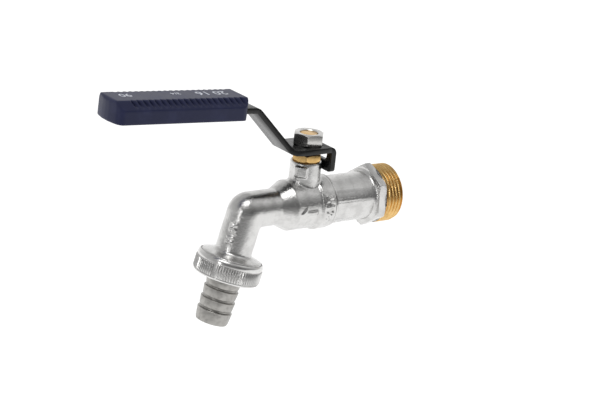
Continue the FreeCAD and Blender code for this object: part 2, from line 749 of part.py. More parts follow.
soften(grip, "near_corners", at.grip_corner, lambda e: upright(e, 0))
soften(grip, "far_corners", at.grip_far_corner, lambda e: upright(e, -values["grip_len"]))
soften(grip, "foot_bevel", at.grip_foot_bevel, at_foot, "PartDesign::Chamfer")
end_slope_x = at.end_slope_run - at.grip_len
pad(grip, "shoulder_end", "XZ_Plane", [
    (-at.grip_len - 1, -at.end_slope_low), (-at.grip_len, -at.end_slope_low),
    (end_slope_x, at.grip_bevel), (end_slope_x, at.grip_bevel + 2),
    (-at.grip_len - 1, at.grip_bevel + 2)], at.grip_half * 2 + 2, cut=True, midplane=True)
for side, word in ((1, "far"), (-1, "near")):
    pad(grip, "shoulder_" + word, "YZ_Plane", [
        (side * at.grip_half, -at.shoulder_low), (side * at.grip_top_half, at.grip_bevel),
        (side * at.grip_top_half, at.grip_bevel + 2), (side * (at.grip_half + 2), at.grip_bevel + 2),
        (side * (at.grip_half + 2), -at.shoulder_low)],
        at.grip_len + 2, offset=(0, 0, 1), cut=True)
    # Each rib gap has a level floor, so it runs out on the sloping shoulder.
    gap = pad(grip, "rib_gap_" + word, "XY_Plane", [
        (at.rib_first, side * (at.grip_top_half - 0.5)),
        (at.rib_first - at.rib_gap, side * (at.grip_top_half - 0.5)),
        (at.rib_first - at.rib_gap + at.rib_slant, side * (at.grip_half + 0.5)),
        (at.rib_first + at.rib_slant, side * (at.grip_half + 0.5))],
        at.rib_depth, offset=(0, 0, at.grip_bevel), cut=True)
    before = volume(grip)
    row = grip.newObject("PartDesign::LinearPattern", "rib_gaps_" + word)
    row.Originals = [gap]
    row.Direction = (gap.Profile[0], ["H_Axis"])
    row.Reversed = True
    row.Length = values["rib_pitch"] * (values["rib_count"] - 1)
    row.Occurrences = int(values["rib_count"])
    bind(row, "Length", at.rib_pitch * (at.rib_count - 1))
    bind(row, "Occurrences", at.rib_count)
    grip.Tip = row
    must_change(grip, before, False, "rib_gaps_" + word)
bar_z = at.plate_top + at.rise - at.grip_line_z
bar_drop = (at.knee_high_x - at.grip_start) * tangent(at.grip_pitch)
bar_low = bar_z + bar_drop - at.sheet_t - at.slack
bar_high = bar_low + at.sheet_t + at.slack * 2
pocket_half = at.bar_half + at.slack
pad(grip, "bar_pocket", "YZ_Plane", [
    (-pocket_half, bar_low), (pocket_half, bar_low),
    (pocket_half, bar_high), (-pocket_half, bar_high)],
    at.grip_start - at.bar_end + 1, cut=True)

# Lever nut
nut = new_body("lever_nut")
pad(nut, "nut_blank", "XY_Plane", hexagon(at.nut_af), at.nut_h,
    offset=(0, 0, at.plate_top), turn=-39)
nut_corner = at.nut_af * HEX_CORNER
nut_top = at.plate_top + at.nut_h
turn_outline(nut, "nut_bore", [
    (0, at.plate_top - 1), (at.nut_bore_r, at.plate_top - 1), (at.nut_bore_r, nut_top - 0.4),
    (at.nut_bore_r + 0.4, nut_top), (at.nut_bore_r + 0.4, nut_top + 1), (0, nut_top + 1)],
    cut=True)
for word, face, sign in (("top", nut_top, 1), ("bottom", at.plate_top, -1)):
    turn_outline(nut, "nut_bevel_" + word, [
        (nut_corner - 1.0, face), (nut_corner + 0.1, face - sign * 0.6),
        (nut_corner + 2, face - sign * 0.6), (nut_corner + 2, face + sign * 1),
        (nut_corner - 1.0, face + sign * 1)], cut=True)


# Union nut, washer and hose tail, on the spout's axis
def on_spout(label, name, points):
    """A turned piece whose outline is (radius, minus the distance)."""
    piece = new_body(label)
    turn_outline(piece, name, points, offset=(at.bend_x, 0, 0), turn=-values["spout_tilt"])
    return piece


union_r = union_thread_r + at.union_rim_t
washer_r = union_thread_r - at.washer_play
on_spout("union_nut", "nut_ring", [
    (union_thread_r + 0.3, -at.union_top), (union_r - 0.4, -at.union_top),
    (union_r, -(at.union_top + 0.4)), (union_r, 0.4 - at.union_end),
    (union_r - 0.4, -at.union_end), (at.union_hole_r, -at.union_end),
    (at.union_hole_r, -lip_top), (union_thread_r, -lip_top),
    (union_thread_r, -(at.union_top + 0.3))])
on_spout("union_washer", "flat_ring", [
    (at.water_r + 1.4, at.washer_t - tail_top), (washer_r, at.washer_t - tail_top),
    (washer_r, -tail_top), (at.water_r + 1.4, -tail_top)])
barb_2 = at.barb_1 + at.barb_pitch
barb_3 = barb_2 + at.barb_pitch
tail_flange_r = washer_r - at.slack
on_spout("hose_tail", "barbed_tube", [
    (at.tail_bore_r, -tail_top), (tail_flange_r, -tail_top), (tail_flange_r, -lip_top),
    (at.tail_r, -lip_top), (at.tail_r, -(at.union_end + 2)),
    (at.tail_low_r + 0.1, at.barb_gap - at.barb_1), (at.tail_groove_r, at.barb_gap - at.barb_1),
    (at.tail_groove_r, -at.barb_1), (at.tail_r, -at.barb_1),
    (at.tail_low_r, at.barb_gap - barb_2), (at.tail_groove_r, at.barb_gap - barb_2),
    (at.tail_groove_r, -barb_2), (at.tail_r, -barb_2),
    (at.tail_low_r, at.barb_gap - barb_3), (at.tail_groove_r, at.barb_gap - barb_3),
    (at.tail_groove_r, -barb_3), (at.tail_r, -barb_3), (at.tail_low_r, 0.5 - at.tail_end),
    (at.tail_tip_r, -at.tail_end), (at.tail_bore_r, -at.tail_end)])

doc.recompute()

NODES = [
    "body", "inlet_connector", "connector_seal", "ball", "inlet_seat", "outlet_seat",
    "stem", "stem_thrust_washer", "packing_ring_lower", "packing_ring_upper", "gland_nut",
    "lever", "lever_grip", "lever_nut", "union_nut", "union_washer", "hose_tail",
]

for item in doc.Objects:
    if "Invalid" in item.State or "Error" in item.State:
        raise ValueError("%s failed: %s" % (item.Name, item.State))

for label in NODES:
    found = doc.getObjectsByLabel(label)
    if len(found) != 1:
        raise ValueError("label %s is on %d objects" % (label, len(found)))
    shape = found[0].Shape
    if shape.isNull() or not shape.isValid() or len(shape.Solids) != 1:
        raise ValueError("bad shape: " + label)
    print("%-20s %9.1f mm3  %s" % (label, shape.Volume, shape.BoundBox))
    shape.exportStep("parts/%s.step" % label)
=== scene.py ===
"""Looks of the garden ball tap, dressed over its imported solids.

+X runs out of the inlet, +Z up the stem, and the open lever lies towards -X.
Sizes are kept in millimetres in the dataclasses and turned into metres where
a mesh is made.
"""
import logging
import math
from dataclasses import dataclass, field
from enum import Enum
from typing import Any, Callable, Optional, Sequence

import bmesh
import bpy
from mathutils import Matrix, Vector


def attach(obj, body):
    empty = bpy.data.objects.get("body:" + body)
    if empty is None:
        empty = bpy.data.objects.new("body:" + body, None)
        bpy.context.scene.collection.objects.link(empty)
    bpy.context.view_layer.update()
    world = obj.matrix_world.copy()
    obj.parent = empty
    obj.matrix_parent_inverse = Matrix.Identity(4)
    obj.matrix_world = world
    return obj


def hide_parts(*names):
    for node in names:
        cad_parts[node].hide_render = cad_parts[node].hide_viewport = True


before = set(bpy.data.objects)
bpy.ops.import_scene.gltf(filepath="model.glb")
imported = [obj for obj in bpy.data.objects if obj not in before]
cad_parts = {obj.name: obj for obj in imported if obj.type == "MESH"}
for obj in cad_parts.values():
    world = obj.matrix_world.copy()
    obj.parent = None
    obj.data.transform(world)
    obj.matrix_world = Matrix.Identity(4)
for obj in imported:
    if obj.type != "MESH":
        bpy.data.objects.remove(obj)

LOG = logging.getLogger("tap")
MM = 0.001
Profile = Sequence[tuple[float, float]]


class Body(Enum):
    """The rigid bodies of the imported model."""

    VALVE = "valve"
    LEVER = "lever_set"
    TAIL = "tail"
    UNION = "union"


class Axis(Enum):
    """The lines about which the tap's turned parts are turned."""

    PIPE = "pipe"
    STEM = "stem"
    SPOUT = "spout"


@dataclass(frozen=True)
class Layout:
    """Where the main lines of the tap lie, in millimetres and degrees."""

    stem_x: float = -38.0
    bend_x: float = -29.6
    spout_tilt: float = 14.8

    def matrix(self, axis: Axis) -> Matrix:
        """Place a part turned about its own Z on one of the tap's lines.

        Args:
            axis: The line that the part's Z becomes. Distances along the pipe
                and the stem are counted from where the two cross, and
                distances down the spout from the bend's corner.

        Returns:
            The matrix from the part's millimetres to the frame's metres.
        """
        stem = Matrix.Translation((self.stem_x * MM, 0.0, 0.0))
        scale = Matrix.Scale(MM, 4)
        if axis is Axis.STEM:
            return stem @ scale
        if axis is Axis.PIPE:
            return stem @ Matrix.Rotation(math.radians(90), 4, "Y") @ scale
        corner = Matrix.Translation((self.bend_x * MM, 0.0, 0.0))
        turn = Matrix.Rotation(math.radians(180 + self.spout_tilt), 4, "Y")
        return stem @ corner @ turn @ scale


LAYOUT = Layout()


# Shader tools


class Val:
    """A number socket on which Python's operators add Math nodes."""

    def __init__(self, work: "NodeWork", socket: bpy.types.NodeSocket) -> None:
        """Wrap a socket of a material's tree."""
        self.work = work
        self.socket = socket

    def _math(self, operation: str, first: Any, second: Any) -> "Val":
        """Add one Math node and return its result."""
        node = self.work.node("ShaderNodeMath", {"operation": operation}, {0: first, 1: second})
        return Val(self.work, node.outputs[0])

    def __add__(self, other: Any) -> "Val":
        """Sum."""
        return self._math("ADD", self, other)

    __radd__ = __add__

    def __sub__(self, other: Any) -> "Val":
        """Difference."""
        return self._math("SUBTRACT", self, other)

    def __rsub__(self, other: Any) -> "Val":
        """Difference, reflected."""
        return self._math("SUBTRACT", other, self)

    def __mul__(self, other: Any) -> "Val":
        """Product."""
        return self._math("MULTIPLY", self, other)

    __rmul__ = __mul__

    def __truediv__(self, other: Any) -> "Val":
        """Quotient."""
        return self._math("DIVIDE", self, other)

    def low(self, other: Any) -> "Val":
        """The smaller of the two."""
        return self._math("MINIMUM", self, other)

    def turn(self, other: Any) -> "Val":
        """Angle of the direction (other, self), 0 to 1 round the full circle."""
        return self._math("ARCTAN2", self, other) / math.tau + 0.5

    def step(self, start: float, end: float) -> "Val":
        """Rise smoothly from 0 at start to 1 at end, which may be lower."""
        node = self.work.node(
            "ShaderNodeMapRange", {"interpolation_type": "SMOOTHSTEP", "clamp": True},
            {"Value": self, "From Min": start, "From Max": end, "To Min": 0.0, "To Max": 1.0})
        return Val(self.work, node.outputs["Result"])


Colour = tuple[float, float, float]


class NodeWork:
    """A tree of shader nodes, with the few kinds that the finishes use."""

    def __init__(self, tree: bpy.types.NodeTree, shader: str, coordinates: str) -> None:
        """Work in a tree.

        Args:
            tree: The tree of a material or of the world.
            shader: The type of its shader node.
            coordinates: Which coordinates its patterns follow.
        """
        self.tree = tree
        self.shader = next(n for n in tree.nodes if n.type == shader)
        self.place = tree.nodes.new("ShaderNodeTexCoord").outputs[coordinates]

    def node(self, kind: str, settings: dict[str, Any], values: dict[Any, Any]) -> bpy.types.Node:
        """Add a node.

        Args:
            kind: The node's type.
            settings: Properties of the node, set first.
            values: Values or links of its sockets, by name or number.

        Returns:
            The node.
        """
        made = self.tree.nodes.new(kind)
        for key, value in settings.items():
            setattr(made, key, value)
        for key, value in values.items():
            self.feed(made.inputs[key], value)
        return made

    def feed(self, socket: bpy.types.NodeSocket, value: Any) -> None:
        """Link a socket to a Val or a socket, or set its number or colour."""
        if isinstance(value, Val):
            self.tree.links.new(value.socket, socket)
        elif isinstance(value, bpy.types.NodeSocket):
            self.tree.links.new(value, socket)
        else:
            socket.default_value = value

    def axis(self, letter: str) -> Val:
        """One of the object coordinates, in millimetres."""
        split = self.node("ShaderNodeSeparateXYZ", {}, {0: self.place})
        return Val(self, split.outputs[letter]) * 1000.0

    def noise(self, size: float, detail: float = 2.0, rough: float = 0.5,
              stretch: Optional[tuple[float, float, float]] = None) -> Val:
        """Cloudy noise with features about size millimetres wide."""
        where: Any = self.place
        if stretch:
            where = self.node("ShaderNodeMapping", {}, {
                "Vector": self.place, "Scale": stretch}).outputs[0]
        made = self.node("ShaderNodeTexNoise", {}, {
            "Vector": where, "Scale": 1000.0 / size, "Detail": detail, "Roughness": rough})
        return Val(self, made.outputs["Fac"])

    def cells(self, size: float) -> Val:
        """Distance to scattered points about size millimetres apart."""
        made = self.node("ShaderNodeTexVoronoi", {"feature": "F1"}, {
            "Vector": self.place, "Scale": 1000.0 / size})
        return Val(self, made.outputs["Distance"])

    def blend(self, mask: Any, first: Any, second: Any) -> bpy.types.NodeSocket:
        """Mix two colours: first where the mask is 0, second where it is 1."""
        made = self.node("ShaderNodeMix", {"data_type": "RGBA"}, {})
        self.feed(made.inputs[0], mask)
        for index, value in ((6, first), (7, second)):
            self.feed(made.inputs[index], (*value, 1.0) if isinstance(value, tuple) else value)
        return made.outputs[2]

    def relief(self, height: Val, depth_mm: float) -> None:
        """Bump the surface by a height of 0 to 1 over depth_mm."""
        made = self.node("ShaderNodeBump", {}, {
            "Strength": 1.0, "Distance": depth_mm * MM, "Height": height})
        self.feed(self.shader.inputs["Normal"], made.outputs["Normal"])

    def set(self, **values: Any) -> None:
        """Set the shader's own sockets; an underscore stands for a space."""
        for key, value in values.items():
            socket = self.shader.inputs[key.replace("_", " ")]
            if isinstance(value, tuple) and len(value) == 3:
                value = (*value, 1.0)
            self.feed(socket, value)


class Surface(NodeWork):
    """One material's tree."""

    def __init__(self, name: str) -> None:
        """Start a material with its Principled shader."""
        self.material = bpy.data.materials.new(name)
        self.material.use_nodes = True
        super().__init__(self.material.node_tree, "BSDF_PRINCIPLED", "Object")


class Room(NodeWork):
    """The world's tree, where a place is the direction of a ray."""

    def __init__(self, name: str) -> None:
        """Start a world with its background."""
        world = bpy.data.worlds.new(name)
        world.use_nodes = True
        bpy.context.scene.world = world
        super().__init__(world.node_tree, "BACKGROUND", "Generated")

    def along(self, direction: Colour) -> Val:
        """How far a ray points along a direction, from -1 to 1."""
        dot = self.node("ShaderNodeVectorMath", {"operation": "DOT_PRODUCT"},
                        {0: self.place, 1: direction})
        return Val(self, dot.outputs["Value"])

    def ring(self, turn: Val, stops: Profile) -> Val:
        """Brightness round the room.

        Args:
            turn: A ray's turn from the camera's side, from 0 to 1.
            stops: Turn in degrees, -180 to 180, and brightness there.

        Returns:
            The brightness.
        """
        ramp = self.node("ShaderNodeValToRGB", {}, {0: turn})
        marks = ramp.color_ramp.elements
        for index, (degrees, grey) in enumerate(stops):
            place = degrees / 360.0 + 0.5
            mark = marks[index] if index < 2 else marks.new(place)
            mark.position = place
            mark.color = (grey, grey, grey, 1.0)
        return Val(self, ramp.outputs["Color"])


# Finishes


@dataclass(frozen=True)
class CastPlate:
    """Satin plating over a sand casting: fine grain, faint clouds, pits."""

    name: str = "cast_plate"
    colour: Colour = (0.66, 0.655, 0.645)
    shade: Colour = (0.50, 0.495, 0.485)
    roughness: float = 0.20
    grain_mm: float = 0.60
    grain_depth: float = 0.12

    def build(self) -> bpy.types.Material:
        """Make the material."""
        work = Surface(self.name)
        grain = work.noise(self.grain_mm, 3.0, 0.6)
        clouds = work.noise(5.0, 3.0, 0.55)
        pits = work.cells(2.6).step(0.17, 0.04)
        spots = work.noise(3.1, 1.0).step(0.60, 0.66)
        pit = pits * spots
        work.set(
            Base_Color=work.blend((clouds.step(0.40, 0.66) * 0.6 + pit).low(1.0),
                                  self.colour, self.shade),
            Metallic=1.0,
            Roughness=self.roughness + (grain - 0.5) * 0.16 + (clouds - 0.5) * 0.12)
        work.relief(grain * 0.8 + work.noise(1.3, 2.0) * 0.5 - pit * 1.2, self.grain_depth)
        return work.material


@dataclass(frozen=True)
class TurnedMetal:
    """Machined metal: fine turning lines round one of the tap's lines."""

    name: str
    colour: Colour
    shade: Colour
    roughness: float
    axis: Axis = Axis.PIPE
    line_mm: float = 0.18
    line_depth: float = 0.006
    stain: float = 0.5

    def build(self) -> bpy.types.Material:
        """Make the material."""
        work = Surface(self.name)
        flat = 0.02
        stretch = {Axis.PIPE: (1.0, flat, flat), Axis.STEM: (flat, flat, 1.0),
                   Axis.SPOUT: (flat + 0.2, flat, 1.0)}[self.axis]
        lines = work.noise(self.line_mm, 2.0, 0.6, stretch)
        clouds = work.noise(2.4, 3.0, 0.6)
        work.set(
            Base_Color=work.blend(clouds.step(0.40, 0.70) * self.stain, self.colour, self.shade),
            Metallic=1.0,
            Roughness=self.roughness + (lines - 0.5) * 0.12 + (clouds - 0.5) * 0.14)
        work.relief(lines, self.line_depth)
        return work.material


@dataclass(frozen=True)
class GlossPaint:
    """Black paint dipped on steel: slight ripple and faint dust; its thinning on the edges is not
    drawn.
    """

    name: str = "black_paint"
    colour: Colour = (0.006, 0.006, 0.006)
    dull: Colour = (0.016, 0.016, 0.016)

    def build(self) -> bpy.types.Material:
        """Make the material."""
        work = Surface(self.name)
        ripple = work.noise(1.6, 2.0, 0.5)
        dust = work.noise(0.28, 2.0, 0.6)
        work.set(
            Base_Color=work.blend(work.noise(6.0, 3.0).step(0.42, 0.70) * 0.6,
                                  self.colour, self.dull),
            Roughness=0.27 + (dust - 0.5) * 0.18 + (ripple - 0.5) * 0.10,
            IOR=1.42)
        work.relief(ripple * 0.8 + dust * 0.2, 0.020)
        return work.material


@dataclass(frozen=True)
class MouldedPlastic:
    """Navy moulded plastic with a fine spark-eroded grain."""

    name: str = "navy_plastic"
    colour: Colour = (0.015, 0.019, 0.062)
    rubbed: Colour = (0.026, 0.031, 0.088)

    def build(self) -> bpy.types.Material:
        """Make the material."""
        work = Surface(self.name)
        grain = work.noise(0.16, 2.0, 0.6)
        clouds = work.noise(7.0, 3.0, 0.55)
        work.set(
            Base_Color=work.blend(clouds.step(0.45, 0.72) * 0.7, self.colour, self.rubbed),
            Roughness=0.42 + (grain - 0.5) * 0.16 + (clouds - 0.5) * 0.12,
            IOR=1.38)
        work.relief(grain, 0.014)
        return work.material


@dataclass(frozen=True)
class PlainMatt:
    """Seals, washers and print: one colour with faint mottling."""

    name: str
    colour: Colour
    mottled: Colour
    roughness: float = 0.5

    def build(self) -> bpy.types.Material:
        """Make the material."""
        work = Surface(self.name)
        mottle = work.noise(0.9, 3.0, 0.6)
        work.set(Base_Color=work.blend(mottle.step(0.35, 0.75), self.colour, self.mottled),
                 Roughness=self.roughness + (mottle - 0.5) * 0.2, IOR=1.4)
        work.relief(mottle, 0.008)
        return work.material


CHROME: Colour = (0.70, 0.695, 0.685)
CHROME_DARK: Colour = (0.56, 0.555, 0.545)
BRASS: Colour = (0.76, 0.50, 0.20)
BRASS_DARK: Colour = (0.48, 0.29, 0.10)


class Finishes:
    """Every material of the tap, made once."""

    def __init__(self) -> None:
        """Build all the finishes."""
        self.casting = CastPlate().build()
        self.barrel = CastPlate("barrel_plate", roughness=0.20, grain_depth=0.085).build()
        self.union = TurnedMetal("union_plate", CHROME, CHROME_DARK, 0.20, Axis.SPOUT).build()
        self.tail = TurnedMetal("tail_plate", (0.40, 0.39, 0.37), (0.27, 0.262, 0.248), 0.34,
                                Axis.SPOUT, 0.3, 0.012, 0.8).build()
        self.nut = TurnedMetal("nut_plate", (0.70, 0.69, 0.67), (0.55, 0.54, 0.52), 0.26,
                               Axis.STEM, 0.4, 0.004).build()
        self.thread = TurnedMetal("thread_brass", BRASS, BRASS_DARK, 0.26, Axis.PIPE).build()
        self.brass = TurnedMetal("stem_brass", BRASS, BRASS_DARK, 0.28, Axis.STEM).build()
        self.ball = TurnedMetal("ball_plate", (0.80, 0.80, 0.79), CHROME, 0.08).build()
        self.paint = GlossPaint().build()
        self.grip = MouldedPlastic().build()
        self.print = PlainMatt("white_print", (0.72, 0.74, 0.80), (0.55, 0.58, 0.68)).build()
        self.white = PlainMatt("white_seal", (0.80, 0.80, 0.78), (0.72, 0.71, 0.68)).build()
        self.rubber = PlainMatt("black_rubber", (0.02, 0.02, 0.02), (0.04, 0.04, 0.04)).build()


# Mesh tools


class Shaper:
    """Builds one piece's mesh with bmesh operators and hands it over."""

    def __init__(self) -> None:
        """Start with an empty mesh."""
        self.mesh = bmesh.new()

    def lathe(self, profile: Profile, segments: int = 96) -> "Shaper":
        """Turn a closed outline of (radius, distance) about Z.

        Args:
            profile: The corners in order; the last joins the first.
            segments: Steps of the full turn.

        Returns:
            This shaper.
        """
        corners = [self.mesh.verts.new((r, 0.0, z)) for r, z in profile]
        edges = [self.mesh.edges.new((a, b)) for a, b in zip(corners, corners[1:] + corners[:1])]
        bmesh.ops.spin(self.mesh, geom=corners + edges, cent=(0, 0, 0), axis=(0, 0, 1),
                       dvec=(0, 0, 0), angle=math.tau, steps=segments, use_merge=True,
                       use_normal_flip=False, use_duplicate=False)
        self.tidy()
        return self

    def tidy(self, gap: float = 1e-4) -> None:
        """Merge doubled points and turn the faces outwards."""
        bmesh.ops.remove_doubles(self.mesh, verts=self.mesh.verts[:], dist=gap)
        bmesh.ops.recalc_face_normals(self.mesh, faces=self.mesh.faces[:])

    def copy_node(self, node: str) -> "Shaper":
        """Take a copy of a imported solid, with its flat faces joined again."""
        self.mesh.from_mesh(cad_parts[node].data)
        bmesh.ops.remove_doubles(self.mesh, verts=self.mesh.verts[:], dist=2e-7)
        bmesh.ops.dissolve_limit(self.mesh, angle_limit=math.radians(0.4),
                                 verts=self.mesh.verts[:], edges=self.mesh.edges[:],
                                 use_dissolve_boundaries=False, delimit=set())
        return self

    def prism(self, outline: Profile, low: float, high: float) -> "Shaper":
        """Raise a closed outline of (x, y) from low to high.

        Args:
            outline: The corners, counterclockwise.
            low: Height of the bottom face.
            high: Height of the top face.

        Returns:
            This shaper.
        """
        corners = [self.mesh.verts.new((x, y, low)) for x, y in outline]
        face = self.mesh.faces.new(corners)
        raised = bmesh.ops.extrude_face_region(self.mesh, geom=[face])
        top = [v for v in raised["geom"] if isinstance(v, bmesh.types.BMVert)]
        bmesh.ops.translate(self.mesh, verts=top, vec=(0, 0, high - low))
        bmesh.ops.recalc_face_normals(self.mesh, faces=self.mesh.faces[:])
        return self

    def move(self, matrix: Matrix) -> "Shaper":
        """Place the whole mesh."""
        bmesh.ops.transform(self.mesh, matrix=matrix, verts=self.mesh.verts[:])
        return self

    def each(self, change: Callable[[Vector], Vector]) -> "Shaper":
        """Move every point by a rule."""
        for vert in self.mesh.verts:
            vert.co = change(vert.co)
        return self

    def data(self, name: str) -> bpy.types.Mesh:
        """Write the mesh out and free the shaper."""
        mesh = bpy.data.meshes.new(name)
        self.mesh.to_mesh(mesh)
        self.mesh.free()
        return mesh

    def object(self, name: str) -> bpy.types.Object:
        """Write the mesh to a new object at the origin."""
        made = bpy.data.objects.new(name, self.data(name))
        bpy.context.scene.collection.objects.link(made)
        return made


def settle(piece: bpy.types.Object) -> None:
    """Apply a piece's modifiers to its mesh."""
    graph = bpy.context.evaluated_depsgraph_get()
    solid = bpy.data.meshes.new_from_object(piece.evaluated_get(graph))
    piece.modifiers.clear()
    piece.data = solid


def cut(piece: bpy.types.Object, tool: bpy.types.Object, operation: str = "DIFFERENCE") -> None:
    """Cut a piece with a tool object and throw the tool away."""
    step = piece.modifiers.new("cut", "BOOLEAN")
    step.operation = operation
    step.solver = "EXACT"
    step.object = tool
    settle(piece)
    bpy.data.objects.remove(tool, do_unlink=True)


def blur_where(piece: bpy.types.Object, name: str, rounds: int,
               weight: Callable[[Vector], float]) -> None:
    """Smooth a piece's surface in one region.

    Args:
        piece: The piece, finely meshed.
        name: A name for the region.
        rounds: How many times it is smoothed.
        weight: How much a point takes part, from 0 to 1.
    """
    group = piece.vertex_groups.new(name=name)
    for vert in piece.data.vertices:
        share = weight(vert.co)
        if share > 0.0:
            group.add([vert.index], min(1.0, share), "REPLACE")
    blur = piece.modifiers.new(name, "SMOOTH")
    blur.factor = 0.5
    blur.iterations = rounds
    blur.vertex_group = name
    settle(piece)
    piece.vertex_groups.clear()


def smooth(piece: bpy.types.Object, angle: float = 32.0) -> None:
    """Shade a piece smooth, with its edges sharper than the angle kept."""
    piece.data.shade_smooth()
    piece.data.set_sharp_from_angle(angle=math.radians(angle))


def ease(piece: bpy.types.Object, width_mm: float, angle: float = 32.0, steps: int = 2) -> None:
    """Round a piece's sharp edges a little and shade it."""
    smooth(piece, 180.0)
    bevel = piece.modifiers.new("eased_edges", "BEVEL")
    bevel.width = width_mm * MM
    bevel.segments = steps
    bevel.limit_method = "ANGLE"
    bevel.angle_limit = math.radians(angle)
    bevel.harden_normals = True
    bevel.use_clamp_overlap = True


def finish_piece(piece: bpy.types.Object, finish: bpy.types.Material, body: Body, slot: str,
                 *nodes: str) -> bpy.types.Object:
    """Dress a piece, ride it on its body and hide the solids it stands for.

    Args:
        piece: The finished object, in the frame's metres.
        finish: Its material.
        body: The body that it moves with.
        slot: The name of its material slot; not used.
        nodes: The CAD nodes that it replaces, if any.

    Returns:
        The piece.
    """
    piece.data.materials.clear()
    piece.data.materials.append(finish)
    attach(piece, body.value)
    if nodes:
        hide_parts(*nodes)
    LOG.info("%s: %d faces", piece.name, len(piece.data.polygons))
    return piece


def dress_node(node: str, finish: bpy.types.Material) -> None:
    """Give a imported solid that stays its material."""
    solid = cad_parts[node]
    solid.data.materials.clear()
    solid.data.materials.append(finish)
    LOG.info("%s: packed solid kept", node)


def arc(x: float, y: float, radius: float, start: float, end: float,
        steps: int) -> list[tuple[float, float]]:
    """Points of an arc about (x, y), from one angle in degrees to another."""
    turns = [math.radians(start + (end - start) * i / steps) for i in range(steps + 1)]
    return [(x + radius * math.cos(t), y + radius * math.sin(t)) for t in turns]


def flat_words(words: str, size: float, thick: float, x: float, y: float,
               turn: float = 0.0) -> bpy.types.Mesh:
    """Make figures lying flat on Z 0.

    Args:
        words: The figures.
        size: Height of the type, in millimetres.
        thick: Half of how far they stand above and below Z 0.
        x: Where their middle stands along X.
        y: Where their middle stands along Y.
        turn: Turn about Z in degrees.

    Returns:
        A closed mesh.
    """
    curve = bpy.data.curves.new("figures", "FONT")
    curve.body = words
    curve.size = size
    curve.extrude = thick
    curve.offset = size * 0.012
    curve.resolution_u = 3
    curve.align_x = "CENTER"
    curve.align_y = "CENTER"
    holder = bpy.data.objects.new("figures", curve)
    bpy.context.scene.collection.objects.link(holder)
    graph = bpy.context.evaluated_depsgraph_get()
    mesh = bpy.data.meshes.new_from_object(holder.evaluated_get(graph))
    bpy.data.objects.remove(holder, do_unlink=True)
    mesh.transform(Matrix.Translation((x, y, 0)) @ Matrix.Rotation(math.radians(turn), 4, "Z"))
    return mesh


# Sub-assemblies


@dataclass(frozen=True)
class Mark:
    """A raised figure of the casting and where it stands.

    It stands on a cylinder about one of the tap's lines, with its middle
    `along` that line and `angle` degrees round it; -90 is the near side, -Y.
    """

    words: str
    size: float
    axis: Axis
    along: float
    angle: float
    radius: float
    runs_round: bool


